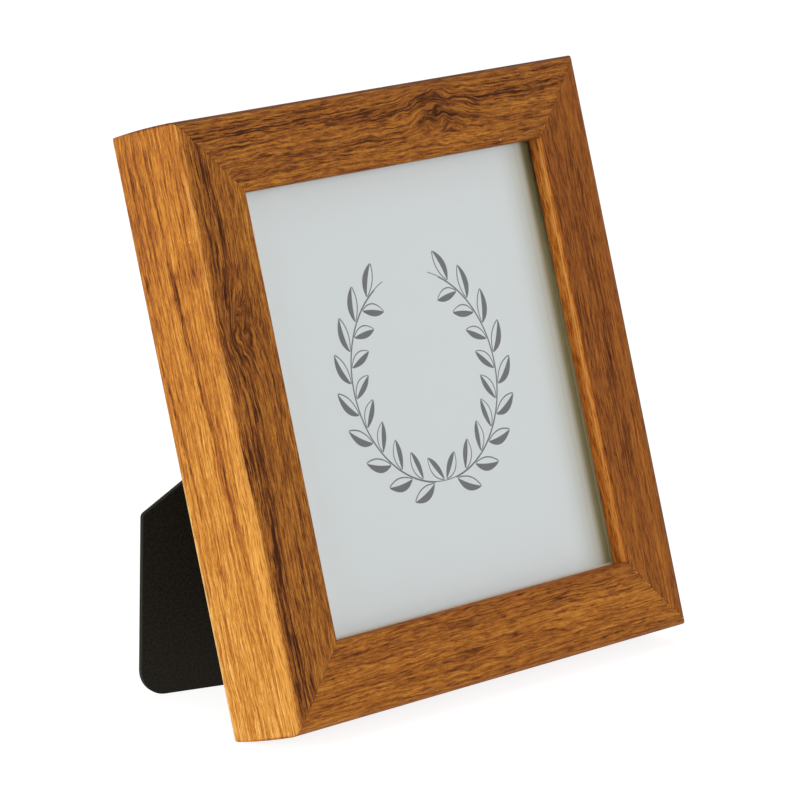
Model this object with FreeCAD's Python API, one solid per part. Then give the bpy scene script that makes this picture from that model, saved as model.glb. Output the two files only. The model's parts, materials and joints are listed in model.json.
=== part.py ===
import FreeCAD, Part
import math
import os

from FreeCAD import Vector

# Easel back photo frame for a 6 x 6 inch print. Four mitred box section rails carry the glass, the
# print, a backing card and a ring of spacer strips in a deep rebate. A flush back panel closes it
# under four turn buttons. A flat strut on a slanting riveted hinge holds the frame leaning back.
#
# Everything is drawn on the upright frame: X to the right, Y from the front face to the back, Z up,
# with the origin at the middle of the front face. It is then leaned back and set on the table.
# Millimetres throughout.

# Print and glazing
print_side = 152.4
print_thickness = 0.3
glass_thickness = 2.0
glass_seam = 0.3
card_thickness = 1.5
print_fit = 0.5
print_air = 0.1

# Rails
rail_width = 26.0
rail_depth = 30.0
lip_width = 3.7
lip_depth = 5.8
front_fall = 0.4
side_draw = 0.85
side_crest_share = 0.28
outer_arris = 3.0
inner_arris = 1.0
lip_arris = 0.3
back_arris = 1.5
rebate_arris = 0.5
mitre_gap = 0.08
cut_overrun = 5.0
match_share = 0.001

# Fasteners across each mitre
nail_wing = 6.0
nail_steel = 0.6
nail_height = 10.0
nail_sink = 0.4
nail_first = 9.0
nail_pitch = 11.0

# Spacer strips and back panel
spacer_width = 5.0
spacer_fit = 0.2
panel_thickness = 3.0
panel_fit = 0.4
panel_corner = 2.0

# Turn buttons and their screws
button_steel = 1.0
button_head_radius = 4.5
button_tip_radius = 3.2
button_grip = 6.0
button_lift = 1.6
button_lift_length = 3.5
button_under_gap = 0.3
button_bore_fit = 0.1
button_sidestep = 24.0
screw_shank_radius = 1.5
screw_head_radius = 3.0
screw_head_height = 1.7
screw_head_gap = 0.2
screw_length = 12.0
screw_point = 1.6
screw_slot_width = 0.7
screw_slot_length = 3.4
screw_slot_depth = 0.9
screw_shoulder_share = 0.5
screw_crown_share = 0.7

# Hinge: the leaf on the panel, the leaf on the strut and the pin
hinge_right = 14.3
hinge_up = 3.2
hinge_width = 40.0
panel_leaf_steel = 0.8
panel_leaf_length = 18.0
panel_leaf_cutback = 1.6
panel_knuckle = 8.0
strut_leaf_steel = 0.5
strut_leaf_length = 17.0
strut_leaf_start = 2.0
strut_knuckle = 6.4
knuckle_gap = 0.3
leaf_corner = 3.0
pin_radius = 0.8
pin_fit = 0.05
pin_head_radius = 1.4
pin_head = 0.6
pin_end_gap = 0.1
stop_gap = 0.05

# Rivets
rivet_radius = 1.4
rivet_head_radius = 2.7
rivet_head = 0.9
rivet_tail_radius = 2.2
rivet_tail = 0.6
rivet_half_pitch = 12.5
panel_rivet_setback = 10.5
strut_rivet_setback = 10.0
# The dome's outline: (share of the head's radius, share of its height) from the rim to the crown
rivet_dome_shares = [(1, 0), (0.68, 1), (0, 1)]

# Strut
strut_thickness = 2.0
strut_start = 2.5
strut_head_width = 47.0
strut_shoulder_width = 87.5
strut_head_radius = 3.0
strut_shoulder_radius = 2.0
strut_tip_radius = 9.2
strut_arris = 0.25

# Angles in degrees: how far the frame leans back and how far the strut stands open
lean_angle = 15.2
open_angle = 25.0

# The four sides, clockwise seen from the front, each a quarter turn after the one before
side_names = ("bottom", "left", "top", "right")
quarter_turn = 360 / len(side_names)
side_turns = {side: index * quarter_turn for index, side in enumerate(side_names)}

# Sizes that follow from those above
rebate_side = print_side + 2 * print_fit
wall_width = rail_width - lip_width
outer_side = rebate_side + 2 * wall_width
half_side = outer_side / 2
glass_back = lip_depth + glass_thickness
print_front = glass_back + print_air
card_front = print_front + print_thickness
spacer_front = card_front + card_thickness
panel_front = rail_depth - panel_thickness
panel_side = rebate_side - 2 * panel_fit
pivot_from_centre = half_side - wall_width / 2
button_reach = wall_width / 2 + panel_fit + button_grip
button_bore_radius = screw_shank_radius + button_bore_fit
knuckle_bore = pin_radius + pin_fit
pin_height = panel_leaf_steel + knuckle_bore
strut_leaf_under = pin_height + knuckle_bore
strut_under = strut_leaf_under - strut_thickness

lean = math.radians(lean_angle)
opening = math.radians(open_angle)

# The strut's foot corner is square and its edges run 45 degrees to the hinge pin. This tilt of the
# pin below the level lays the lower foot edge flat on the table once the strut stands open.
hinge_tilt_angle = math.degrees(
    math.atan(math.cos(opening))
    + math.asin(math.tan(lean) * math.sin(opening) / math.hypot(1, math.cos(opening)))
)


def box(low, high):
    """Box between two opposite corners."""
    size = high - low
    return Part.makeBox(size.x, size.y, size.z, low)


def slab(wire, low, high):
    """Plate with a flat outline drawn in the XY plane, from height low to height high."""
    plate = Part.Face(wire).extrude(Vector(0, 0, high - low))
    plate.translate(Vector(0, 0, low))
    return plate


def polygon(points):
    """Closed wire through flat points given as (x, y)."""
    corners = [Vector(x, y, 0) for x, y in points]
    return Part.makePolygon(corners + corners[:1])


def rounded_outline(corners):
    """Closed wire through (x, y, radius) corners, each rounded by an arc tangent to its sides."""
    points = [Vector(x, y, 0) for x, y, radius in corners]
    edges = []
    ends = []
    for index, (x, y, radius) in enumerate(corners):
        corner = points[index]
        back = (points[index - 1] - corner).normalize()
        ahead = (points[(index + 1) % len(points)] - corner).normalize()
        half_turn = back.getAngle(ahead) / 2
        middle = (back + ahead).normalize()
        reach = radius / math.tan(half_turn)
        start = corner + back * reach
        end = corner + ahead * reach
        crown = corner + middle * (radius / math.sin(half_turn) - radius)
        edges.append(Part.Arc(start, crown, end).toShape())
        ends.append((start, end))
    for index, (start, end) in enumerate(ends):
        following = ends[(index + 1) % len(ends)][0]
        edges.append(Part.LineSegment(end, following).toShape())
    return Part.Wire(Part.__sortEdges__(edges))


def teardrop(head_radius, tip_radius, distance):
    """Closed wire round a head circle at the origin and a smaller tip circle along +Y."""
    slope = math.asin((head_radius - tip_radius) / distance)
    side = Vector(math.cos(slope), math.sin(slope), 0)
    mirrored = Vector(-side.x, side.y, 0)
    tip = Vector(0, distance, 0)
    head_right, head_left = side * head_radius, mirrored * head_radius
    tip_right, tip_left = tip + side * tip_radius, tip + mirrored * tip_radius
    edges = [
        Part.Arc(head_left, Vector(0, -head_radius, 0), head_right).toShape(),
        Part.LineSegment(head_right, tip_right).toShape(),
        Part.Arc(tip_right, tip + Vector(0, tip_radius, 0), tip_left).toShape(),
        Part.LineSegment(tip_left, head_left).toShape(),
    ]
    return Part.Wire(edges)


def turned(profile, x=0, y=0):
    """Solid turned about a line parallel to Z, from (radius, height) points off that line."""
    points = [Vector(radius, 0, height) for radius, height in profile]
    face = Part.Face(Part.makePolygon(points + points[:1]))
    solid = face.revolve(Vector(0, 0, 0), Vector(0, 0, 1), 360)
    solid.translate(Vector(x, y, 0))
    return solid


def rod(radius, low, high, y=0, z=0):
    """Round rod along X between two places on it."""
    return Part.makeCylinder(radius, high - low, Vector(low, y, z), Vector(1, 0, 0))


def edges_along(shape, places, axis):
    """Edges parallel to an axis that pass the given places."""
    near = outer_side * match_share
    found = []
    for edge in shape.Edges:
        start, end = edge.Vertexes[0].Point, edge.Vertexes[-1].Point
        run = end - start
        if run.Length < near or run.cross(axis).Length > near:
            continue
        for place in places:
            offset = start - place
            if (offset - axis * offset.dot(axis)).Length < near:
                found.append(edge)
    return found


def on_back(shape, right, up, turn):
    """Lay a solid on the back: its +Z points out of the back, its +Y down, then turned in the plane.

    A turn of 90 degrees brings +Y from pointing down to pointing left, seen from the front.
    """
    angle = math.radians(turn)
    across = Vector(math.cos(angle), 0, -math.sin(angle))
    along = Vector(-math.sin(angle), 0, -math.cos(angle))
    rotation = FreeCAD.Rotation(across, along, Vector(0, 1, 0), "ZXY")
    placed = shape.copy()
    placement = FreeCAD.Placement(Vector(right, rail_depth, up), rotation)
    placed.Placement = placement.multiply(shape.Placement)
    return placed


def round_the_centre(shape, side):
    """Copy of a solid of the bottom side, turned about the middle of the frame to another side."""
    copy = shape.copy()
    copy.rotate(Vector(0, 0, 0), Vector(0, 1, 0), side_turns[side])
    return copy


def at_button(shape, side):
    """Lay a turn button or its screw on a rail's back, its tip towards the middle of the frame."""
    sidestep = button_sidestep if side == "bottom" else 0
    placed = on_back(shape, sidestep, -pivot_from_centre, 2 * quarter_turn)
    return round_the_centre(placed, side)


def rail_bar():
    """Bottom rail before its mitres: the section in Y and Z carried along X.

    The front is flat and falls a little towards the outside. The outer side is faintly convex,
    widest near the front and drawn in at the back. The rebate leaves a thin lip at the front.
    """
    crest = side_crest_share * rail_depth
    front_draw = side_draw * ((crest - front_fall) / (rail_depth - crest)) ** 2
    left = -half_side

    def at(depth, inward):
        return Vector(left, depth, inward - half_side)

    outer_front = at(front_fall, front_draw)
    inner_front = at(0, rail_width)
    lip_back = at(lip_depth, rail_width)
    rebate_front = at(lip_depth, wall_width)
    rebate_back = at(rail_depth, wall_width)
    outer_back = at(rail_depth, side_draw)
    edges = [
        Part.LineSegment(outer_front, inner_front).toShape(),
        Part.LineSegment(inner_front, lip_back).toShape(),
        Part.LineSegment(lip_back, rebate_front).toShape(),
        Part.LineSegment(rebate_front, rebate_back).toShape(),
        Part.LineSegment(rebate_back, outer_back).toShape(),
        Part.Arc(outer_back, at(crest, 0), outer_front).toShape(),
    ]
    bar = Part.Face(Part.Wire(edges)).extrude(Vector(outer_side, 0, 0))
    roundings = [
        (outer_front, outer_arris),
        (inner_front, inner_arris),
        (lip_back, lip_arris),
        (rebate_back, rebate_arris),
        (outer_back, back_arris),
    ]
    for corner, radius in roundings:
        bar = bar.makeFillet(radius, edges_along(bar, [corner], Vector(1, 0, 0)))
    return bar


def mitre_wedge():
    """Quarter of the frame's square that the bottom rail keeps, short of each mitre by half a gap."""
    back_off = mitre_gap / math.sqrt(2)
    low = half_side + cut_overrun
    points = [
        Vector(0, -cut_overrun, -back_off),
        Vector(low - back_off, -cut_overrun, -low),
        Vector(back_off - low, -cut_overrun, -low),
    ]
    face = Part.Face(Part.makePolygon(points + points[:1]))
    return face.extrude(Vector(0, rail_depth + 2 * cut_overrun, 0))


def corner_nails(height_above_back):
    """Steel nails bent to a V, driven in from the back across each mitre.

    Zero height gives the nails, sunk below the surface. More gives the kerfs that they leave.
    """
    spread = nail_wing / math.sqrt(2)
    steel = nail_steel * math.sqrt(2)
    vee = polygon([
        (0, 0),
        (spread, spread),
        (spread, spread + steel),
        (0, steel),
        (-spread, spread + steel),
        (-spread, spread),
    ])
    nail = slab(vee, -nail_sink - nail_height, height_above_back - nail_sink)
    nails = []
    for place in (nail_first, nail_first + nail_pitch):
        out = half_side - place / math.sqrt(2)
        laid = on_back(nail, out, out, quarter_turn / 2)
        nails += [round_the_centre(laid, side) for side in side_names]
    return nails


def turn_screw():
    """Pan head screw through a turn button, point first into the rail's back."""
    head_under = button_under_gap + button_steel + screw_head_gap
    head_top = head_under + screw_head_height
    shoulder = head_under + screw_head_height * screw_shoulder_share
    point_start = head_under - screw_length + screw_point
    screw = turned([
        (0, head_under - screw_length),
        (screw_shank_radius, point_start),
        (screw_shank_radius, head_under),
        (screw_head_radius, head_under),
        (screw_head_radius, shoulder),
        (screw_head_radius * screw_crown_share, head_top),
        (0, head_top),
    ])
    slot_low = head_top - screw_slot_depth
    slot = box(
        Vector(-screw_slot_length / 2, -screw_slot_width / 2, slot_low),
        Vector(screw_slot_length / 2, screw_slot_width / 2, head_top + cut_overrun),
    )
    crossed = slot.copy()
    crossed.rotate(Vector(0, 0, 0), Vector(0, 0, 1), quarter_turn)
    return screw.cut(slot.fuse(crossed))


def turn_button():
    """Flat steel button with a bored head and a tip bent up for a fingertip."""
    low = button_under_gap
    tip = button_reach
    bend = tip - button_lift_length
    side = Part.makePolygon([
        Vector(-button_head_radius, -button_head_radius, low),
        Vector(-button_head_radius, bend, low),
        Vector(-button_head_radius, tip, low + button_lift),
        Vector(-button_head_radius, tip, low + button_lift + button_steel),
        Vector(-button_head_radius, bend, low + button_steel),
        Vector(-button_head_radius, -button_head_radius, low + button_steel),
        Vector(-button_head_radius, -button_head_radius, low),
    ])
    bent = Part.Face(side).extrude(Vector(2 * button_head_radius, 0, 0))
    plan = slab(
        teardrop(button_head_radius, button_tip_radius, tip - button_tip_radius),
        0,
        low + button_lift + button_steel + cut_overrun,
    )
    bore = Part.makeCylinder(button_bore_radius, low + button_steel + cut_overrun)
    return bent.common(plan).cut(bore)


def rivet(grip_low, grip_high, y, x, tail_beyond):
    """Rivet with a domed head above grip_high and a tail at grip_low.

    The tail is spread below the grip, or drawn in flush with it where tail_beyond is zero.
    """
    if tail_beyond:
        tail = [(0, grip_low - rivet_tail), (rivet_tail_radius, grip_low - rivet_tail),
                (rivet_tail_radius, grip_low), (rivet_radius, grip_low)]
    else:
        tail = [(0, grip_low), (rivet_tail_radius, grip_low), (rivet_radius, grip_low + rivet_tail)]
    dome = [
        (rivet_head_radius * radius_share, grip_high + rivet_head * height_share)
        for radius_share, height_share in rivet_dome_shares
    ]
    return turned(tail + [(rivet_radius, grip_high)] + dome, x, y)


def knuckle(steel, low, high):
    """Rolled knuckle: a ring round the pin, between two places along it."""
    return rod(knuckle_bore + steel, low, high, 0, pin_height)


def panel_leaf_blank():
    """Panel leaf before its holes: a plate above the pin with a knuckle at each end."""
    half = hinge_width / 2
    plate = slab(rounded_outline([
        (-half, -panel_leaf_length, leaf_corner),
        (half, -panel_leaf_length, leaf_corner),
        (half, -panel_leaf_cutback, pin_fit),
        (-half, -panel_leaf_cutback, pin_fit),
    ]), 0, panel_leaf_steel)
    leaf = plate
    for low in (-half, half - panel_knuckle):
        high = low + panel_knuckle
        web = box(
            Vector(low, -panel_leaf_cutback - pin_radius, 0),
            Vector(high, 0, panel_leaf_steel),
        )
        leaf = leaf.fuse([web, knuckle(panel_leaf_steel, low, high)])
    return leaf


def strut_knuckle_places():
    """Where the strut leaf's two knuckles start and end along the pin."""
    end = hinge_width / 2 - panel_knuckle - knuckle_gap
    return [(-end, strut_knuckle - end), (end - strut_knuckle, end)]


def strut_leaf_blank():
    """Strut leaf before its holes: a plate below the pin, two knuckles and a stop tongue.

    The tongue passes over the pin and lands on the panel leaf when the strut stands open.
    """
    half = hinge_width / 2
    top = strut_leaf_under + strut_leaf_steel
    leaf = slab(rounded_outline([
        (half, strut_leaf_length, leaf_corner),
        (-half, strut_leaf_length, leaf_corner),
        (-half, strut_leaf_start, pin_fit),
        (half, strut_leaf_start, pin_fit),
    ]), strut_leaf_under, top)
    for low, high in strut_knuckle_places():
        web = box(
            Vector(low, 0, strut_leaf_under),
            Vector(high, strut_leaf_start + pin_radius, top),
        )
        leaf = leaf.fuse([web, knuckle(strut_leaf_steel, low, high)])
    drop = strut_leaf_under - pin_height
    fall = pin_height + drop * math.cos(opening) - panel_leaf_steel - stop_gap
    tongue_length = fall / math.sin(opening)
    tongue_half = strut_knuckle_places()[1][0] - knuckle_gap
    tongue = box(
        Vector(-tongue_half, -tongue_length, strut_leaf_under),
        Vector(tongue_half, strut_leaf_start + pin_radius, top),
    )
    return leaf.fuse(tongue)


def hinge_pin():
    """Pin along X with a peened head at each end."""
    half = hinge_width / 2 + pin_end_gap
    pin = rod(pin_radius, -half, half, 0, pin_height)
    heads = [
        rod(pin_head_radius, half, half + pin_head, 0, pin_height),
        rod(pin_head_radius, -half - pin_head, -half, 0, pin_height),
    ]
    return pin.fuse(heads)


def opened(shape):
    """Swing a solid of the folded strut open about the hinge pin."""
    swung = shape.copy()
    swung.rotate(Vector(0, 0, pin_height), Vector(1, 0, 0), open_angle)
    return swung


def strut_board(reach):
    """Strut folded flat: a narrow head at the hinge, wide shoulders and a square foot corner."""
    head = strut_head_width / 2
    shoulder = strut_shoulder_width / 2
    outline = rounded_outline([
        (-head, strut_start, strut_head_radius),
        (head, strut_start, strut_head_radius),
        (shoulder, reach - shoulder, strut_shoulder_radius),
        (0, reach, strut_tip_radius),
        (-shoulder, reach - shoulder, strut_shoulder_radius),
    ])
    board = slab(outline, strut_under, strut_leaf_under)
    rims = []
    for edge in board.Edges:
        if abs(edge.Vertexes[0].Z - edge.Vertexes[-1].Z) < strut_arris:
            rims.append(edge)
    return board.makeChamfer(strut_arris, rims)


def height(place):
    """Height of a place on the frame once it leans back, above the middle of the front face."""
    return place.z * math.cos(lean) - place.y * math.sin(lean)


def strut_reach(floor):
    """Length from the pin to the foot corner that brings the foot edge down to the floor."""
    angle = math.radians(hinge_tilt_angle)
    along = Vector(-math.sin(angle), 0, -math.cos(angle))
    out = Vector(0, 1, 0)
    open_along = along * math.cos(opening) + out * math.sin(opening)
    open_out = out * math.cos(opening) - along * math.sin(opening)
    pin = Vector(hinge_right, rail_depth + pin_height, hinge_up)
    front = pin - open_out * (pin_height - strut_under)
    return (floor - height(front)) / height(open_along)


def leaned(shape):
    """Lean a solid back about the middle of the front face."""
    copy = shape.copy()
    copy.rotate(Vector(0, 0, 0), Vector(1, 0, 0), -lean_angle)
    return copy


def plate_in_rebate(side, front, back):
    """Square plate centred in the rebate between two depths."""
    half = side / 2
    return box(Vector(-half, front, -half), Vector(half, back, half))


# Rails, with the kerfs of the corner nails and the holes of the turn button screws
screw = turn_screw()
screws = {side: at_button(screw, side) for side in side_names}
kerfs = Part.makeCompound(corner_nails(cut_overrun))
mitred_bar = rail_bar().common(mitre_wedge())
nodes = {}
for side in side_names:
    nodes[side + "_rail"] = round_the_centre(mitred_bar, side).cut(kerfs).cut(screws[side])
nodes["corner_nails"] = Part.makeCompound(corner_nails(0))

# Glass against the lip, the print just behind it, and the backing card that presses both
glass = plate_in_rebate(print_side, lip_depth, glass_back)
nodes["glass_pane"] = glass.makeChamfer(glass_seam, glass.Edges)
nodes["print_sheet"] = plate_in_rebate(print_side, print_front, card_front)
nodes["backing_card"] = plate_in_rebate(print_side, card_front, spacer_front)

# Spacer strips round the rebate: two full length, two between them
strip_half = print_side / 2
for side in side_names:
    end = strip_half
    if side in ("left", "right"):
        end = strip_half - spacer_width - spacer_fit
    strip = box(
        Vector(-end, spacer_front, -strip_half),
        Vector(end, panel_front, spacer_width - strip_half),
    )
    nodes["spacer_" + side] = round_the_centre(strip, side)

# Back panel, flush with the rails
half_panel = panel_side / 2
panel = slab(rounded_outline([
    (-half_panel, -half_panel, panel_corner),
    (half_panel, -half_panel, panel_corner),
    (half_panel, half_panel, panel_corner),
    (-half_panel, half_panel, panel_corner),
]), -panel_thickness, 0)
panel = on_back(panel, 0, 0, 0)

# Hinge, rivets and strut, drawn on the back with the pin along X and the strut folded down along +Y
pin = hinge_pin()
bore = rod(knuckle_bore, -hinge_width, hinge_width, 0, pin_height)
panel_rivets = []
strut_rivets = []
for x in (-rivet_half_pitch, rivet_half_pitch):
    panel_rivets.append(rivet(-panel_thickness, panel_leaf_steel, -panel_rivet_setback, x, True))
    strut_rivets.append(
        rivet(strut_under, strut_leaf_under + strut_leaf_steel, strut_rivet_setback, x, False)
    )
panel_rivets = Part.makeCompound(panel_rivets)
strut_rivets = Part.makeCompound(strut_rivets)
panel_leaf = panel_leaf_blank().cut(bore).cut(panel_rivets).removeSplitter()
strut_leaf = strut_leaf_blank().cut(bore).cut(strut_rivets).removeSplitter()


def at_hinge(shape):
    """Lay a solid of the hinge or strut at its slanting place on the back panel."""
    return on_back(shape, hinge_right, hinge_up, hinge_tilt_angle)


floor = leaned(nodes["bottom_rail"]).optimalBoundingBox(False).ZMin
reach = strut_reach(floor)
strut = strut_board(reach).cut(strut_rivets).removeSplitter()

nodes["back_panel"] = panel.cut(at_hinge(panel_rivets)).removeSplitter()
nodes["hinge_panel_leaf"] = at_hinge(panel_leaf)
nodes["hinge_pin"] = at_hinge(pin)
nodes["panel_rivets"] = at_hinge(panel_rivets)
nodes["hinge_strut_leaf"] = at_hinge(opened(strut_leaf))
nodes["strut_rivets"] = at_hinge(opened(strut_rivets))
nodes["strut"] = at_hinge(opened(strut))

# Turn buttons and their screws
button = turn_button()
for side in side_names:
    nodes["turn_button_" + side] = at_button(button, side)
nodes["turn_button_screws"] = Part.makeCompound(list(screws.values()))

# Lean everything back and stand it on the table, with the origin under the middle of its footprint
nodes = {name: leaned(shape) for name, shape in nodes.items()}
whole = Part.makeCompound([nodes["bottom_rail"], nodes["top_rail"], nodes["left_rail"],
                           nodes["right_rail"], nodes["strut"]]).optimalBoundingBox(False)
to_origin = Vector(-whole.Center.x, -whole.Center.y, -whole.ZMin)

os.makedirs("parts", exist_ok=True)
for name, shape in nodes.items():
    shape.translate(to_origin)
    shape.exportStep("parts/" + name + ".step")
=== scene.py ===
"""Looks of a square easel back photo frame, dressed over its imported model.

Lengths are in metres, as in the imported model. Patterns are laid out in millimetres on the upright
frame: right of its middle, behind its front face and above its middle. Tones of the wood grain foil
go from 0, darkest, to 1, palest.
"""

import json
import math

import bpy
from mathutils import Matrix, Quaternion, Vector


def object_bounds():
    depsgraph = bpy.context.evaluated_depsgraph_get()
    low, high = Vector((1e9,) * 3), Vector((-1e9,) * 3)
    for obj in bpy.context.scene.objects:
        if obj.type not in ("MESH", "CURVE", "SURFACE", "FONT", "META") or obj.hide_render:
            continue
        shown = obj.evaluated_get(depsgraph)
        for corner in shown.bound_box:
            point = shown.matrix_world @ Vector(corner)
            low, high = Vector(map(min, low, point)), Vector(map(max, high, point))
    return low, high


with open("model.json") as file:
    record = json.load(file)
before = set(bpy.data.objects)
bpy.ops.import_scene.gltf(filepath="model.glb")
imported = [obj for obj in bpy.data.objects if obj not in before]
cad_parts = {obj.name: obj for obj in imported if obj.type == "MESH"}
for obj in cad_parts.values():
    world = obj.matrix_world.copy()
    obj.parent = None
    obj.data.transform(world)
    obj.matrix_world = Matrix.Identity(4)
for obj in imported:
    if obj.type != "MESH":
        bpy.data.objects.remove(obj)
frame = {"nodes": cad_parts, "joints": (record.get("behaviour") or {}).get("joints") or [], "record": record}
cad_low, cad_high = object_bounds()
nodes = frame["nodes"]

MILLIMETRE = 0.001


def named(rows, name):
    """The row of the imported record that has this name."""
    return next(row for row in rows if row["name"] == name)


# Sizes of the upright frame in millimetres. The print's front lies so far behind the rails' faces
HALF_SIDE = (cad_high.x - cad_low.x) / 2 / MILLIMETRE
RAIL_WIDTH = 26.0
RAIL_DEPTH = 30.0
HALF_WINDOW = HALF_SIDE - RAIL_WIDTH
PRINT_FRONT = 7.9

# The frame as it stands: the direction straight back through it, its lean and its front's middle
PRINT_BAY = named(frame["record"]["mounts"], "print_bay")
BACKWARD = -Vector(PRINT_BAY["axis"])
LEAN = math.asin(-BACKWARD.z)
FACE_CENTRE = Vector(PRINT_BAY["pos_m"]) - BACKWARD * (PRINT_FRONT * MILLIMETRE)

# The boards, and how far out from the middle of its hinge pin the strut's back lies, in millimetres
PANEL_THICKNESS = 3.0
STRUT_THICKNESS = 2.0
STRUT_BACK = 0.85
STRUT_HINGE = named(frame["joints"], "strut_fold")


# Node materials


class Wire:
    """One value on its way through a material's nodes, with arithmetic written as on numbers."""

    def __init__(self, finish, socket):
        self.finish = finish
        self.socket = socket

    def __add__(self, other):
        return self.finish.math("ADD", self, other)

    def __sub__(self, other):
        return self.finish.math("SUBTRACT", self, other)

    def __rsub__(self, other):
        return self.finish.math("SUBTRACT", other, self)

    def __mul__(self, other):
        return self.finish.math("MULTIPLY", self, other)

    def __truediv__(self, other):
        return self.finish.math("DIVIDE", self, other)

    def __abs__(self):
        return self.finish.math("ABSOLUTE", self)

    __radd__ = __add__
    __rmul__ = __mul__


class Finish:
    """A material in the making: its nodes and the shader that they feed."""

    def __init__(self, name):
        self.material = bpy.data.materials.new(name)
        self.material.use_nodes = True
        self.tree = self.material.node_tree
        self.shader = self.tree.nodes["Principled BSDF"]

    def feed(self, socket, value):
        """Lead a wire to a socket, or set the socket to a plain value."""
        if isinstance(value, Wire):
            self.tree.links.new(value.socket, socket)
        else:
            socket.default_value = value

    def add(self, kind, settings=None, **inputs):
        """A new node with its settings, and its inputs by name, underscores standing for spaces."""
        node = self.tree.nodes.new("ShaderNode" + kind)
        for name, value in (settings or {}).items():
            setattr(node, name, value)
        for name, value in inputs.items():
            self.feed(node.inputs[name.replace("_", " ")], value)
        return node

    def math(self, operation, *values):
        """One step of arithmetic, by the name of Blender's operation."""
        node = self.add("Math", {"operation": operation})
        for socket, value in zip(node.inputs, values):
            self.feed(socket, value)
        return Wire(self, node.outputs[0])

    def smooth(self, value, start, end):
        """0 at start, 1 at end, with an eased slope between them. End may be the lower one."""
        node = self.add("MapRange", {"interpolation_type": "SMOOTHSTEP"}, Value=value)
        node.inputs["From Min"].default_value = start
        node.inputs["From Max"].default_value = end
        return Wire(self, node.outputs[0])

    def vector(self, x, y, z):
        """A vector of three wires or numbers."""
        return Wire(self, self.add("CombineXYZ", X=x, Y=y, Z=z).outputs[0])

    def apart(self, vector):
        """The three parts of a vector."""
        node = self.add("SeparateXYZ", Vector=vector)
        return [Wire(self, output) for output in node.outputs]

    def noise(self, vector, detail=2.0, roughness=0.5):
        """Soft noise about 0.5, one cell to each unit of the vector."""
        node = self.add(
            "TexNoise", Vector=vector, Scale=1.0, Detail=detail, Roughness=roughness, Distortion=0.0
        )
        return Wire(self, node.outputs[0])

    def ramp(self, value, stops):
        """Colour by a value: stops are (place, colour)."""
        node = self.add("ValToRGB", Fac=value)
        elements = node.color_ramp.elements
        while len(elements) < len(stops):
            elements.new(0.5)
        for element, (place, colour) in zip(elements, stops):
            element.position = place
            element.color = colour
        return Wire(self, node.outputs[0])

    def mix(self, share, first, second, blend="MIX"):
        """Colour from first to second as share goes from 0 to 1."""
        node = self.add("Mix", {"data_type": "RGBA", "blend_type": blend})
        # The node has sockets for other kinds of data too, and these are its factor and its colours
        for place, value in ((0, share), (6, first), (7, second)):
            self.feed(node.inputs[place], value)
        return Wire(self, node.outputs[2])

    def place(self, turn, centre):
        """Millimetres from a centre given in metres, in axes that a turn takes the model's to."""
        coordinates = self.add("TexCoord")
        node = self.add("Mapping", {"vector_type": "POINT"})
        self.tree.links.new(coordinates.outputs["Object"], node.inputs["Vector"])
        node.inputs["Scale"].default_value = (1 / MILLIMETRE,) * 3
        node.inputs["Rotation"].default_value = turn.to_euler("XYZ")
        node.inputs["Location"].default_value = -(turn @ centre) / MILLIMETRE
        return Wire(self, node.outputs[0])

    def cover(self, share, below, above):
        """Show one shader below and another above it, from the first to the second by a share."""
        blend = self.add("MixShader")
        factor, first, second = blend.inputs
        self.feed(factor, share)
        self.tree.links.new(below.outputs[0], first)
        self.tree.links.new(above.outputs[0], second)
        surface = self.tree.nodes["Material Output"].inputs["Surface"]
        self.tree.links.new(blend.outputs[0], surface)

    def bump(self, height, depth):
        """Relief of a height from 0 to 1 over a depth in millimetres."""
        node = self.add("Bump", Height=height, Distance=depth * MILLIMETRE)
        self.tree.links.new(node.outputs[0], self.shader.inputs["Normal"])

    def wear(self, **inputs):
        """Set or lead values to the shader's own sockets, by name."""
        for name, value in inputs.items():
            self.feed(self.shader.inputs[name.replace("_", " ")], value)


def srgb(red, green, blue):
    """Colour for a socket from the eight bit values that a picture shows."""

    def linear(value):
        share = value / 255
        return share / 12.92 if share <= 0.04045 else ((share + 0.055) / 1.055) ** 2.4

    return (linear(red), linear(green), linear(blue), 1.0)


def upright(finish):
    """Millimetres on the upright frame: right, back and up from the middle of its front face."""
    return finish.apart(finish.place(Matrix.Rotation(LEAN, 3, "X"), FACE_CENTRE))


def heap(finish, run, level, middle, aside, half_length, half_width):
    """Rounded heap, 1 at its middle and 0 far from it: the bell curve of the distance."""
    lengthwise = (run - middle) / half_length
    crosswise = (level - aside) / half_width
    spread = lengthwise * lengthwise + crosswise * crosswise
    return finish.math("EXPONENT", spread * -1.0)


def streak(finish, run, level, start, end, first, last, half_width):
    """Soft line along the grain from start to end, its level easing from first to last."""
    tip = 16
    middle = finish.smooth(run, start, end) * (last - first) + first
    inside = finish.smooth(abs(level - middle) / half_width, 1.0, 0.1)
    begun = finish.smooth(run, start, start + tip)
    ended = finish.smooth(run, end, end - tip)
    return inside * begun * ended


# Wood grain foil

WOOD_STOPS = [
    (0.00, srgb(66, 35, 18)),
    (0.20, srgb(94, 52, 25)),
    (0.40, srgb(130, 74, 34)),
    (0.60, srgb(168, 104, 44)),
    (0.72, srgb(189, 123, 48)),
    (0.86, srgb(207, 147, 68)),
    (1.00, srgb(230, 176, 98)),
]
BLUSH = srgb(255, 246, 240)
LIP_BLUSH = srgb(252, 222, 208)
# Pale colour of the outer arris: rubbed foil and a painted highlight
RUBBED_HIGHLIGHT_FOIL = srgb(228, 170, 96)
RUBBED_BACK = srgb(242, 204, 136)
# Pale colour of chips at the open mitre, and of the painted highlight behind the lip's arris
CHIPS_AND_LIP_HIGHLIGHT = srgb(240, 170, 84)
# Painted glow beside the outer arris, where its rounding catches the light
ARRIS_GLOW_FOIL = srgb(224, 160, 76)
DUST = srgb(246, 220, 180)

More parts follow.
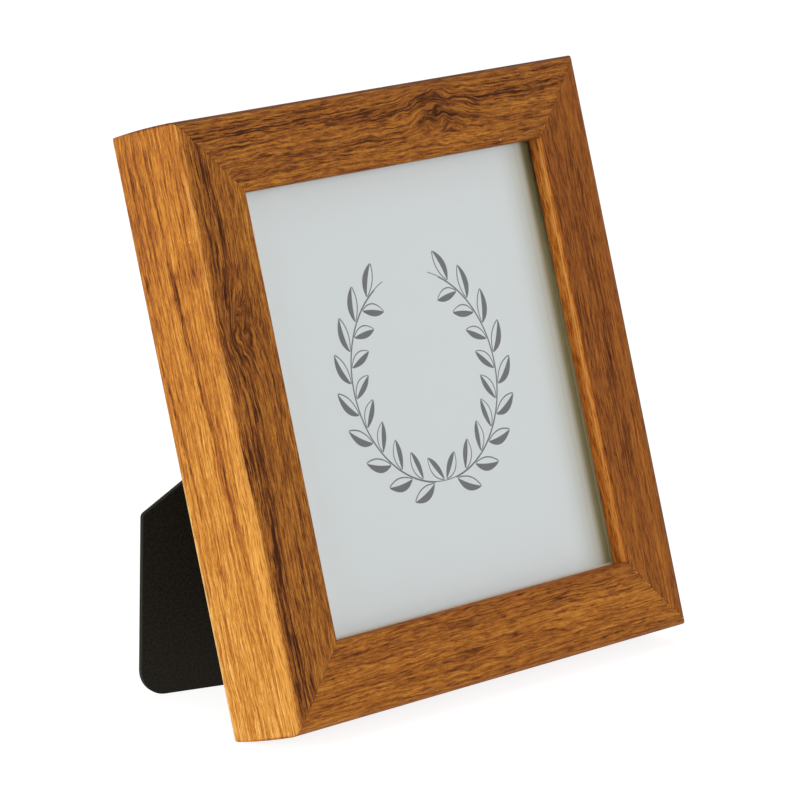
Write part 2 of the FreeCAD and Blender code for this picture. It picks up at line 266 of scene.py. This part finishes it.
# Noises over the unrolled foil: cells to a millimetre along the rail and across it, the slice of
# noise that each is cut from, its detail and its roughness
SPREADS = {
    "wander": (0.012, 0.035, 0.0, 3, 0.5),
    "ripple": (0.11, 0.18, 3.1, 3, 0.5),
    "eddy": (0.14, 0.22, 5.3, 1, 0.5),
    "fray": (0.3, 0.9, 29.0, 4, 0.7),
}

# Noises that follow the bent grain, in the same form, but across the grain first and then along it
GRAINS = {
    "broad": (0.17, 0.007, 7.7, 3, 0.5),
    "clouds": (0.34, 0.06, 9.2, 3, 0.5),
    "drift": (0.06, 0.009, 11.4, 2, 0.5),
    "threads": (1.5, 0.04, 15.8, 3, 0.5),
    "strokes": (1.7, 0.15, 19.9, 3, 0.65),
    "fibres": (1.7, 0.13, 23.1, 3, 0.75),
    "pores": (1.7, 0.7, 26.4, 2, 0.8),
}

GROWTH_PITCH = 2.1
SPECK_CELLS = 0.035
SPECK_SLICE = 41.0


class Foil(Finish):
    """Wood grain foil wrapped round one rail, with the wires that its tones, wear and painted light follow.

    The grain runs along the rail. Across it the foil is unrolled: the distance in from the outer side
    less the distance back from the front face, and on the lip's inner side plus that distance. So the
    pattern goes on over both arrises.
    """

    def __init__(self, name, along, inward, seed, swirls, spill):
        super().__init__(name)
        self.seed = seed
        right, self.back, up = upright(self)
        self.run = along(right, up)
        self.inside = inward(right, up)
        self.on_lip = self.smooth(self.inside, RAIL_WIDTH - 0.8, RAIL_WIDTH - 0.1)
        self.across = self.inside - self.back * (1.0 - self.on_lip * 2.0)
        self.bent = self.pushed(swirls)
        self.lines = self.smooth(self.grain("threads"), 0.48, 0.60)
        self.strokes = self.grain("strokes")
        self.marks = self.smooth(self.strokes, 0.46, 0.64)
        self.fibres = self.grain("fibres")
        self.fray = self.spread("fray")
        self.edge = self.across + (self.fray - 0.5) * 2.2
        self.past_spill = self.beyond(spill)
        self.on_side = self.smooth(self.past_spill, 0.7, -0.7)

    def spread(self, kind):
        """A noise over the unrolled foil."""
        lengthwise, crosswise, cut, detail, roughness = SPREADS[kind]
        place = self.vector(self.run * lengthwise, self.across * crosswise, self.seed + cut)
        return self.noise(place, detail, roughness)

    def grain(self, kind):
        """A noise that follows the bent grain."""
        crosswise, lengthwise, cut, detail, roughness = GRAINS[kind]
        place = self.vector(self.bent * crosswise, self.run * lengthwise, self.seed + cut)
        return self.noise(place, detail, roughness)

    def pushed(self, swirls):
        """The place across, pushed aside by slow wandering, by ripples and by heaps with eddies."""
        wander = (self.spread("wander") - 0.5) * 4.5
        ripple = (self.spread("ripple") - 0.5) * 1.5
        bent = self.across + wander + ripple
        for *place, push in swirls:
            near = heap(self, self.run, self.across, *place)
            bent = bent + near * push + near * (self.spread("eddy") - 0.5) * 6.5
        return bent

    def beyond(self, spill):
        """The place across past the line where the side's tone ends.

        That line lies in from the outer arris by three amounts, at the rail's end, middle and start,
        with eased slopes between them.
        """
        at_end, at_middle, at_start = spill
        to_end = self.smooth(self.run, 45, 98) * (at_end - at_middle)
        to_start = self.smooth(self.run, 25, -45) * (at_start - at_middle)
        return self.edge - to_end - at_middle - to_start

    def plain_tone(self, tone, side_tone, side_fall):
        """The front's tone and the side's, partly painted light, which falls evenly as painted light from
        the middle to the rail's end.
        """
        return self.on_side * (self.run * (-side_fall / HALF_SIDE) + (side_tone - tone)) + tone

    def grained(self, value, lined, front_grit, side_grit):
        """Bands, clouds and fine grit, less growth lines, long fine lines and short strokes.

        Growth lines are a sawtooth of the place across. Grit is dark where the fibres draw dashes, and
        varies with the fibres and pores.
        """
        clouds = self.grain("clouds")
        bands = (self.grain("broad") - 0.5) * 0.34 + (clouds - 0.5) * 0.28
        dashes = self.smooth(self.fibres, 0.53, 0.37)
        grit = (0.30 - dashes) * 0.12 + (self.fibres - 0.5) * 0.16 + (self.grain("pores") - 0.5) * 0.22
        rings = self.math("FRACT", self.bent / GROWTH_PITCH + self.grain("drift") * 4.0)
        growth = self.smooth(rings, 0.25, 0.92) * self.smooth(rings, 1.0, 0.92)
        value = value + bands * (1.0 - self.on_side * 0.25)
        value = value + grit * (self.on_side * (side_grit - front_grit) + front_grit)
        value = value - growth * clouds * (0.20 * lined) - self.lines * (0.14 * lined)
        return value - self.marks * (0.18 - self.on_side * 0.06)

    def figured(self, value, streaks, blots):
        """Streaks and blots, ragged at their rims and broken up by the fine lines and strokes."""
        ragged = self.bent + (self.strokes - 0.5) * 3.2 + (self.fibres - 0.5) * 1.6
        inked = self.lines * (0.85 - self.on_side * 0.7) + self.marks * 0.5 + self.on_side * 0.35 + 0.2
        for *line, darkness in streaks:
            value = value - streak(self, self.run, ragged, *line) * inked * darkness
        for *place, darkness in blots:
            blot = heap(self, self.run, ragged, *place)
            value = value - blot * (self.marks * 0.8 + 0.4) * darkness
        return value

    def shaded(self, value, level, half_width, darkness):
        """A soft dark line of painted shade along the whole rail at one level across it."""
        return value - self.smooth(abs(self.across - level) / half_width, 1.0, 0.2) * darkness

    def turned_in(self, value, lip_tone, lip_line):
        """Painted light and shade on the lip's inner side: paler or darker by its tone, darker towards the
        glass.
        """
        begun = self.smooth(self.across, RAIL_WIDTH - 0.6, RAIL_WIDTH + 0.4)
        # Painted shade deep in the rebate, towards the glass
        deep_shade = self.smooth(self.across, RAIL_WIDTH + 1.8, RAIL_WIDTH + 5.4)
        value = value + begun * (0.8 - self.marks * 0.4) * (lip_tone * 1.8)
        return value - deep_shade * (lip_line * 0.22)

    def joint(self, open_end):
        """The front's fine open line at the mitre of one end, 1 or -1, and none for 0."""
        from_mitre = abs(self.run * open_end + self.inside - HALF_SIDE)
        in_front = self.smooth(self.back, 1.2, 0.6)
        return self.smooth(from_mitre, 0.5, 0.1) * in_front * abs(open_end)

    def ended(self, value, joint):
        """Darker in the open mitre, and at the rail's very ends: the foil's cut edge with painted shade."""
        # The foil's cut edge at the very ends, darkened further by painted contact shade
        cut_end_and_shade = self.smooth(abs(self.run), HALF_SIDE - 1.0, HALF_SIDE - 0.2)
        return value - joint * 0.16 - cut_end_and_shade * 0.3

    def coloured(self, value, blush):
        """The wood's colours by tone, a little redder by the blush, and more so on the lip."""
        colour = self.ramp(value, WOOD_STOPS)
        colour = self.mix(blush, colour, BLUSH, "MULTIPLY")
        return self.mix(self.on_lip * blush, colour, LIP_BLUSH, "MULTIPLY")

    def worn_and_lit(self, colour, rubbed_and_lit, arris_glow):
        """A painted glow beside the outer arris, a rubbed and painted highlight on it, and a rub on the back
        arris.
        """
        # Painted light: a pale glow beside the outer arris, lower down, where its rounding catches the light
        glow_band = self.smooth(self.bent, -5.6, -2.4) * self.smooth(self.past_spill, 0.3, -0.3)
        glow_band = glow_band * self.smooth(self.run, 30.0, -10.0) * self.smooth(self.fibres, 0.3, 0.6)
        colour = self.mix(glow_band * arris_glow, colour, ARRIS_GLOW_FOIL)
        lasting = self.noise(self.vector(self.run * 0.05, self.seed, self.seed))
        # A pale line on the outer arris: rubbed foil, and a painted highlight
        rubbed_highlight = self.smooth(abs(self.edge + 0.1), 0.9, 0.0) * self.smooth(lasting, 0.30, 0.60)
        rubbed_highlight = rubbed_highlight * (self.smooth(self.run, -10.0, 35.0) * 0.7 + 0.3) * rubbed_and_lit
        colour = self.mix(rubbed_highlight, colour, RUBBED_HIGHLIGHT_FOIL)
        back_arris = RAIL_DEPTH - 1.6
        back_rub = self.smooth(abs(self.edge + back_arris), 0.8, 0.2)
        back_rub = back_rub * self.smooth(self.run, 10.0, -30.0)
        return self.mix(back_rub * rubbed_and_lit, colour, RUBBED_BACK)

    def lip_highlight(self, colour, lip_line):
        """A thin painted highlight just behind the lip's arris, stronger towards the rail's start."""
        middle = RAIL_WIDTH + 1.4
        line = self.smooth(abs(self.across - middle + (self.fray - 0.5) * 0.6), 0.5, 0.1) * lip_line
        line = line * (self.smooth(self.run, 50.0, -20.0) * 0.5 + 0.5)
        return self.mix(line, colour, CHIPS_AND_LIP_HIGHLIGHT)

    def flecked(self, colour, joint):
        """Chips along the open mitre, and a few specks of dust, at most one to a cell of the foil."""
        chips = joint * self.smooth(self.fray, 0.50, 0.60)
        place = self.vector(self.run, self.across, self.seed + SPECK_SLICE)
        cells = self.add("TexVoronoi", Vector=place, Scale=SPECK_CELLS, Randomness=1.0)
        specks = self.smooth(Wire(self, cells.outputs["Distance"]), 0.012, 0.007) * 0.7
        return self.mix(specks, self.mix(chips, colour, CHIPS_AND_LIP_HIGHLIGHT), DUST)


def rail_foil(
    name, along, inward, seed, tone, side_tone, side_fall=0.0, streaks=(), blots=(), swirls=(),
    rubbed_and_lit=0.0, arris_glow=0.0, lip_tone=0.0, lip_line=0.0, shade=None, blush=0.0, open_end=0.0,
    lined=1.0, front_grit=1.3, side_grit=1.0, spill=(0.0, 0.0, 0.0),
):
    """Foil for one rail, by its tones, its wear, its painted light and shade, and its own marks.

    Streaks are (start, end, across at each, half width, darkness), blots (along, across, half length,
    half width, darkness) and swirls (along, across, half length, half width, push). A painted shade is
    (across, half width, darkness).
    """
    foil = Foil(name, along, inward, seed, swirls, spill)
    value = foil.plain_tone(tone, side_tone, side_fall)
    value = foil.grained(value, lined, front_grit, side_grit)
    value = foil.figured(value, streaks, blots)
    if shade:
        value = foil.shaded(value, *shade)
    value = foil.turned_in(value, lip_tone, lip_line)
    joint = foil.joint(open_end)
    colour = foil.coloured(foil.ended(value, joint), blush)
    colour = foil.worn_and_lit(colour, rubbed_and_lit, arris_glow)
    colour = foil.lip_highlight(colour, lip_line)
    foil.wear(
        Base_Color=foil.flecked(colour, joint),
        Roughness=(foil.fibres - 0.5) * 0.2 + foil.marks * 0.08 + 0.44,
        Specular_IOR_Level=0.04,
    )
    foil.bump(foil.fibres - foil.marks * 0.6, 0.03)
    return foil.material


# The foil's one marked figure: a dark band that runs into a swirl and on past it
FIGURE_STREAKS = [
    (-98, 12, 6.0, 8.6, 3.6, 0.26),
    (-60, -6, 5.6, 7.4, 1.2, 0.18),
    (-4, 97, 11.0, 8.0, 3.6, 0.26),
    (48, 97, 11.2, 10.4, 1.0, 0.22),
    (50, 99, 5.2, 3.4, 1.2, 0.20),
    (-76, -26, 14.5, 18.2, 1.0, 0.26),
    (-22, 62, 17.4, 15.4, 1.2, 0.22),
    (-64, 24, 21.8, 20.4, 0.8, 0.18),
    (-98, -50, 10.6, 11.4, 1.2, 0.18),
]
FIGURE_BLOTS = [
    (34, 15.0, 9, 4.6, 0.26),
    (26, 10.0, 6, 3.0, 0.22),
]
FIGURE_SWIRLS = [(31, 9.0, 15, 9.5, 4.4)]

# How much further along the top rail the figure lies than on the left one
TOP_SHIFT = -7


def shifted(rows, offset, places):
    """The same marks further along the rail, their places along it standing first in each row."""
    return [tuple(place + offset for place in row[:places]) + row[places:] for row in rows]


RAILS = {
    "left_rail": rail_foil(
        "foil_left",
        along=lambda right, up: up,
        inward=lambda right, up: right + HALF_SIDE,
        seed=2.0,
        tone=0.66,
        # The side's paler tone is partly the foil's own and partly painted light, and its fall is painted
        # light, paler lower down
        side_tone=0.79,
        side_fall=0.095,
        streaks=FIGURE_STREAKS + [
            (-99, 6, 4.4, 4.0, 5.4, 0.12),
            (-30, 60, 2.4, 5.4, 6.6, 0.20),
            (40, 99, 6.4, 5.8, 5.0, 0.12),
            (-84, -20, -4.0, -8.4, 2.0, 0.14),
            (-34, 58, -8.4, -13.6, 4.4, 0.13),
            (-40, 60, -8.6, -14.6, 1.3, 0.24),
            (26, 99, -14.2, -15.4, 1.4, 0.26),
            (-36, 30, -22.0, -26.6, 1.1, 0.32),
            (24, 99, -26.4, -23.6, 2.2, 0.20),
            (48, 99, -20.4, -19.6, 1.6, 0.18),
            (-99, -52, -22.2, -21.4, 1.0, 0.16),
            (-60, 10, -17.6, -18.6, 1.2, 0.14),
            (62, 99, -5.0, -4.0, 2.2, 0.14),
        ],
        blots=FIGURE_BLOTS + [(50, -9.5, 6, 4.5, 0.26), (53, -3.5, 4, 2.4, 0.22)],
        swirls=FIGURE_SWIRLS,
        # Rubbed foil with painted highlight on the arrises, and a painted glow beside the outer arris
        rubbed_and_lit=0.6,
        arris_glow=0.6,
        front_grit=1.9,
        side_grit=1.5,
        spill=(1.9, -0.8, 1.2),
    ),
    "top_rail": rail_foil(
        "foil_top",
        along=lambda right, up: right,
        inward=lambda right, up: HALF_SIDE - up,
        seed=31.0,
        tone=0.635,
        side_tone=0.635,
        streaks=shifted(FIGURE_STREAKS, TOP_SHIFT, 2) + [(-84, -24, 4.0, 3.4, 1.8, 0.28)],
        blots=shifted(FIGURE_BLOTS, TOP_SHIFT, 1),
        swirls=shifted(FIGURE_SWIRLS, TOP_SHIFT, 1),
        lip_tone=-0.04,
        lip_line=0.2,
        # Painted shade on the top's outer rounding
        shade=(-1.6, 1.5, 0.24),
        front_grit=1.6,
    ),
    "right_rail": rail_foil(
        "foil_right",
        along=lambda right, up: up * -1.0,
        inward=lambda right, up: HALF_SIDE - right,
        seed=55.0,
        tone=0.575,
        side_tone=0.575,
        streaks=[
            (-84, 60, 13.0, 17.0, 8.0, 0.10),
            (-70, 26, 9.0, 12.0, 5.5, 0.10),
            (-92, 20, 19.0, 21.5, 0.9, 0.16),
            (-40, 60, 14.6, 13.2, 1.0, 0.14),
            (10, 97, 7.6, 8.8, 1.0, 0.16),
            (34, 96, 17.0, 15.8, 1.2, 0.16),
            (-99, 99, 24.8, 24.8, 2.2, 0.14),
        ],
        lip_tone=0.22,
        lip_line=0.8,
        # Painted shade on the outer rounding
        shade=(0.5, 1.3, 0.50),
        blush=0.8,
        open_end=1.0,
        lined=0.4,
        front_grit=0.9,
    ),
    "bottom_rail": rail_foil(
        "foil_bottom",
        along=lambda right, up: right * -1.0,
        inward=lambda right, up: up + HALF_SIDE,
        seed=77.0,
        tone=0.69,
        side_tone=0.69,
        streaks=[
            (-90, -20, 4.0, 5.6, 1.3, 0.14),
            (-30, 70, 11.0, 9.6, 1.2, 0.14),
            (-60, 30, 20.0, 21.6, 1.0, 0.16),
        ],
        blots=[(-7, 19.0, 1.4, 0.9, 0.34), (-11, 12.0, 1.2, 0.8, 0.30)],
        lip_line=0.1,
        blush=0.6,
        open_end=-1.0,
    ),
}


# Print and glass


def painted_rim_shade_and_light(finish, right, up):
    """Painted shade and light on the print near the lip, where little light gets in: (share, colour), one
    over another.

    Beside the right rail a painted beige dusk of shade deepens to olive, with a faint band of painted
    reflection in it, and a pale green line of painted light, the glow of the glass's edge, lies next to
    the lip towards the bottom. A pale line runs along the bottom lip. Beside the left rail the print is
    painted a little paler, against the lip's shade.
    """
    from_right = HALF_WINDOW - right
    from_left = right + HALF_WINDOW
    from_bottom = up + HALF_WINDOW
    dusk = finish.smooth(from_right, 18.4, 2.4)
    # A faint band of painted reflection, laid into the dusk
    reflection_band = finish.smooth(from_right, 11.2, 9.8)
    deep_shade = finish.smooth(from_right, 4.7, 1.5)
    high = finish.smooth(up, 30.0, 66.0)
    # Painted light: the pale green glow of the glass's edge
    line = finish.smooth(from_right, 0.2, -0.8) * finish.smooth(up, 62.0, -20.0)
    low = finish.smooth(abs(from_bottom - 0.1), 0.8, 0.3)
    # Painted paler, against the shade of the left lip
    left = finish.smooth(from_left, 13.0, 3.0)
    return [
        (left * 0.6, srgb(240, 244, 246)),
        (dusk * 0.74 + reflection_band * 0.08, srgb(184, 185, 170)),
        (deep_shade * 0.9, srgb(124, 120, 78)),
        (deep_shade * high * 0.6, srgb(74, 74, 44)),
        (line * 0.85, srgb(246, 244, 190)),
        (low * 0.7, srgb(252, 238, 208)),
    ]


def wreath(finish, right, up):
    """1 on the lines and the inked halves of an open wreath of leaves, and 0 beside them.

    The wreath is a ring of one leaf, repeated along the ring and mirrored left to right and from its
    inside to its outside. A leaf is a lens round its own middle line: its half width is a parabola of
    the share of its length. One half of it is inked.
    """
    ring_radius = 35.0
    ring_up = 3.0
    first_leaf = 5.0
    leaf_pitch = 10.4
    ring_length = leaf_pitch * 9
    slant = math.radians(42)
    leaf_start, leaf_lift = 0.8, 0.5
    leaf_length = 11.0
    leaf_half = 2.1
    line_half = 0.22
    stem_half = 0.3
    soft = 0.10

    side = abs(right)
    below = ring_up - up
    out = finish.math("SQRT", side * side + below * below) - ring_radius
    inner = finish.math("LESS_THAN", out, 0.0)
    turn = finish.math("ARCTAN2", side, below)
    run = turn * ring_radius - first_leaf + inner * (leaf_pitch / 2)
    step = finish.math("WRAP", run, leaf_pitch, 0.0) - leaf_start
    lift = abs(out) - leaf_lift
    length = step * math.cos(slant) + lift * math.sin(slant)
    width = lift * math.cos(slant) - step * math.sin(slant)
    share = length / leaf_length
    half = share * (1.0 - share) * (4 * leaf_half)
    on_leaf = finish.smooth(share, 0.0, 0.02) * finish.smooth(share, 1.0, 0.98)
    on_ring = finish.smooth(run, 0.0, 0.2) * finish.smooth(run, ring_length + 0.2, ring_length)
    rim = finish.smooth(abs(abs(width) - half), line_half + soft, line_half - soft)
    inked = finish.smooth(width, -soft, soft) * finish.smooth(width - half, soft, -soft)
    stem = finish.smooth(abs(out), stem_half + soft, stem_half - soft)
    leaf = finish.math("MAXIMUM", rim, inked) * on_leaf
    return finish.math("MAXIMUM", leaf, stem) * on_ring


def printed_paper():
    """Matt grey-blue print with an open wreath of leaves in dark ink, and painted shade and light near the
    lips.
    """
    finish = Finish("printed_paper")
    right, back, up = upright(finish)
    grain = finish.noise(finish.vector(right * 3.0, back, up * 3.0), detail=3)
    paper = finish.ramp(grain, [(0.3, srgb(226, 230, 233)), (0.7, srgb(230, 233, 236))])
    # Painted shade and light near the lips, over the paper
    for share, colour in painted_rim_shade_and_light(finish, right, up):
        paper = finish.mix(share, paper, colour)
    ink = srgb(52, 53, 56)
    finish.wear(
        Base_Color=finish.mix(wreath(finish, right, up) * 0.94, paper, ink),
        Roughness=(grain - 0.5) * 0.2 + 0.62,
        Specular_IOR_Level=0.2,
    )
    finish.bump(grain, 0.004)
    return finish.material


def clear_glass():
    """Float glass, faintly green. Light for the print passes straight through it."""
    finish = Finish("clear_glass")
    finish.wear(
        Base_Color=srgb(250, 252, 251),
        Roughness=0.02,
        IOR=1.5,
        Transmission_Weight=1.0,
    )
    path = finish.add("LightPath")
    shadow = Wire(finish, path.outputs["Is Shadow Ray"])
    scattered = Wire(finish, path.outputs["Is Diffuse Ray"])
    clear = finish.add("BsdfTransparent", Color=srgb(252, 253, 252))
    finish.cover(finish.math("MAXIMUM", shadow, scattered), finish.shader, clear)
    return finish.material


# Boards, card and steel


def board(name, depth_of, thickness):
    """Hardboard faced with black paper, its sawn edges dyed, with a painted highlight band beside one face.
    """
    finish = Finish(name)
    depth, first, second = depth_of(finish)
    middle = thickness / 2
    raw = finish.smooth(abs(depth - middle), middle - 0.02, middle - 0.06)
    dust = finish.noise(finish.vector(first * 1.1, second * 1.1, depth), detail=4, roughness=0.7)
    specks = finish.smooth(finish.noise(finish.vector(first * 4, second * 4, depth)), 0.70, 0.78)
    black = finish.ramp(dust, [(0.35, srgb(20, 18, 13)), (0.65, srgb(46, 42, 33))])
    faced = finish.mix(specks * 0.3, black, srgb(88, 80, 66))
    layers = finish.vector(first * 1.2, second * 1.2, depth * 7.0)
    fibres = finish.noise(layers, detail=4, roughness=0.6)
    sawn = finish.ramp(fibres, [(0.3, srgb(5, 4, 4)), (0.7, srgb(16, 14, 11))])
    # A paler band on the sawn edge beside one face: a painted highlight on its arris
    reflection_band = finish.smooth(abs(depth - thickness), 1.3, 0.8) * raw
    sawn = finish.mix(reflection_band * 0.8, sawn, srgb(44, 42, 36))
    finish.wear(
        Base_Color=finish.mix(raw, faced, sawn),
        Roughness=(dust - 0.5) * 0.2 + raw * 0.2 + 0.55,
        Specular_IOR_Level=0.14,
    )
    finish.bump(dust + fibres * raw, 0.04)
    return finish.material


def panel_depth(finish):
    """Depth into the panel from its back, then places across and up it."""
    right, back, up = upright(finish)
    return RAIL_DEPTH - back, right, up


def strut_depth(finish):
    """Depth into the opened strut from its back, then places along its hinge pin and down it.

    The strut's plane is the panel's, turned round the pin by the opening.
    """
    opening = math.radians(STRUT_HINGE["range_deg"][1])
    along_pin = -Vector(STRUT_HINGE["axis"])
    down = BACKWARD.cross(along_pin)
    down_strut = down * math.cos(opening) + BACKWARD * math.sin(opening)
    out_of_strut = BACKWARD * math.cos(opening) - down * math.sin(opening)
    turn = Matrix((along_pin, down_strut, out_of_strut))
    along, below, height = finish.apart(finish.place(turn, Vector(STRUT_HINGE["pos_m"])))
    return STRUT_BACK - height, along, below


def grey_card():
    """Grey board of short fibres."""
    finish = Finish("grey_card")
    right, back, up = upright(finish)
    fibres = finish.noise(finish.vector(right * 0.9, back * 3.0, up * 0.9), detail=5)
    finish.wear(
        Base_Color=finish.ramp(fibres, [(0.3, srgb(150, 146, 136)), (0.7, srgb(178, 174, 164))]),
        Roughness=(fibres - 0.5) * 0.2 + 0.8,
    )
    finish.bump(fibres, 0.05)
    return finish.material


def steel(name, colour, roughness, line_cells):
    """Plated steel with faint drawn lines, so many to a millimetre, and a cloudy sheen."""
    finish = Finish(name)
    right, back, up = upright(finish)
    lines = finish.noise(finish.vector(right * line_cells, back * 2.0, up * 2.0), detail=3)
    clouds = finish.noise(finish.vector(right * 0.4, back * 0.4, up * 0.4))
    dull = srgb(*[channel * 0.86 for channel in colour])
    finish.wear(
        Base_Color=finish.ramp(clouds, [(0.35, dull), (0.65, srgb(*colour))]),
        Metallic=1.0,
        Roughness=(lines - 0.5) * 0.15 + (clouds - 0.5) * 0.2 + roughness,
    )
    finish.bump(lines, 0.008)
    return finish.material


hinge_steel = steel("hinge_steel", (206, 203, 196), roughness=0.34, line_cells=9.0)
button_steel = steel("button_steel", (210, 207, 200), roughness=0.28, line_cells=5.0)
nail_steel = steel("nail_steel", (178, 178, 180), roughness=0.4, line_cells=7.0)
card = grey_card()

DRESS = {
    **RAILS,
    "glass_pane": clear_glass(),
    "print_sheet": printed_paper(),
    "backing_card": card,
    "back_panel": board("panel_board", panel_depth, PANEL_THICKNESS),
    "strut": board("strut_board", strut_depth, STRUT_THICKNESS),
    "corner_nails": nail_steel,
    "hinge_panel_leaf": hinge_steel,
    "hinge_strut_leaf": hinge_steel,
    "hinge_pin": hinge_steel,
    "panel_rivets": hinge_steel,
    "strut_rivets": hinge_steel,
    "turn_button_screws": button_steel,
}
for side in ("top", "right", "bottom", "left"):
    DRESS["turn_button_" + side] = button_steel
    DRESS["spacer_" + side] = card

for name, material in DRESS.items():
    mesh = nodes[name].data
    mesh.materials.clear()
    mesh.materials.append(material)


# Camera, floor and light

CAMERA_PLACE = Vector((-1.38712, -1.21832, 0.47368))
CAMERA_AIM = Vector((0.73642, 0.6458, -0.20158))
CAMERA_ROLL = math.radians(-0.082)
CAMERA_LENS = 256.55

# Lamps by name, place, width and level
LAMPS = [
    ("side_light", Vector((-1.75, 0.15, 0.4)), 0.7, 0.72),
    ("front_light", Vector((0.0, -1.7, 0.56)), 0.9, 0.32),
]
LAMP_TARGET = Vector((0, 0, 0.09))
ROOM_LEVEL = 0.46

FLOOR_HALF = 6.0
FLOOR_GLOW = 1.7
GLOW_SHARE = 0.5


def add_camera():
    """Camera at the photograph's place, with its aim and slight roll."""
    camera = bpy.data.objects.new("camera", bpy.data.cameras.new("camera"))
    camera.data.lens = CAMERA_LENS
    camera.data.sensor_width = 36.0
    camera.data.clip_end = 50.0
    camera.location = CAMERA_PLACE
    camera.rotation_mode = "QUATERNION"
    level = CAMERA_AIM.to_track_quat("-Z", "Y")
    camera.rotation_quaternion = level @ Quaternion((0, 0, 1), CAMERA_ROLL)
    bpy.context.scene.collection.objects.link(camera)
    bpy.context.scene.camera = camera


def add_lamp(name, place, width, level):
    """Square lamp turned to the frame. At level 1 a surface facing it shows its colour as written.

    It lights but isn't mirrored, so that wood seen along its face keeps its colour.
    """
    lamp = bpy.data.lights.new(name, "AREA")
    lamp.shape = "SQUARE"
    lamp.size = width
    aim = LAMP_TARGET - place
    lamp.energy = level * math.pi ** 2 * aim.length_squared
    box = bpy.data.objects.new(name, lamp)
    box.location = place
    box.visible_glossy = False
    box.rotation_mode = "QUATERNION"
    box.rotation_quaternion = aim.to_track_quat("-Z", "Y")
    bpy.context.scene.collection.objects.link(box)


def shown_rays(tree):
    """1 on the rays that show a surface: straight, mirrored or through glass. 0 on those that light."""
    path = tree.nodes.new("ShaderNodeLightPath")
    shown = path.outputs["Is Camera Ray"]
    for kind in ("Is Glossy Ray", "Is Transmission Ray"):
        either = tree.nodes.new("ShaderNodeMath")
        either.operation = "MAXIMUM"
        tree.links.new(shown, either.inputs[0])
        tree.links.new(path.outputs[kind], either.inputs[1])
        shown = either.outputs[0]
    return shown


def add_floor():
    """Pale square floor that shows white to the camera, less the object's shadow."""
    corners = [(-1, -1), (1, -1), (1, 1), (-1, 1)]
    places = [(x * FLOOR_HALF, y * FLOOR_HALF, 0.0) for x, y in corners]
    mesh = bpy.data.meshes.new("floor")
    mesh.from_pydata(places, [], [(0, 1, 2, 3)])
    floor = bpy.data.objects.new("floor", mesh)
    bpy.context.scene.collection.objects.link(floor)
    finish = Finish("floor")
    finish.wear(Base_Color=(0.8, 0.8, 0.8, 1.0), Roughness=0.9, Specular_IOR_Level=0.0)
    glow = finish.add("Emission", Strength=FLOOR_GLOW)
    shown = Wire(finish, shown_rays(finish.tree))
    finish.cover(shown * GLOW_SHARE, finish.shader, glow)
    mesh.materials.append(finish.material)


def add_room():
    """White all round where it is seen, mirrored or seen through, and softer where it lights."""
    world = bpy.data.worlds.new("room")
    bpy.context.scene.world = world
    world.use_nodes = True
    tree = world.node_tree
    background = tree.nodes["Background"]
    background.inputs["Color"].default_value = (1, 1, 1, 1)
    strength = tree.nodes.new("ShaderNodeMapRange")
    strength.inputs["To Min"].default_value = ROOM_LEVEL
    strength.inputs["To Max"].default_value = 1.0
    tree.links.new(shown_rays(tree), strength.inputs["Value"])
    tree.links.new(strength.outputs[0], background.inputs["Strength"])


bpy.context.scene.view_settings.view_transform = "Standard"
add_camera()
add_floor()
add_room()
for lamp in LAMPS:
    add_lamp(*lamp)
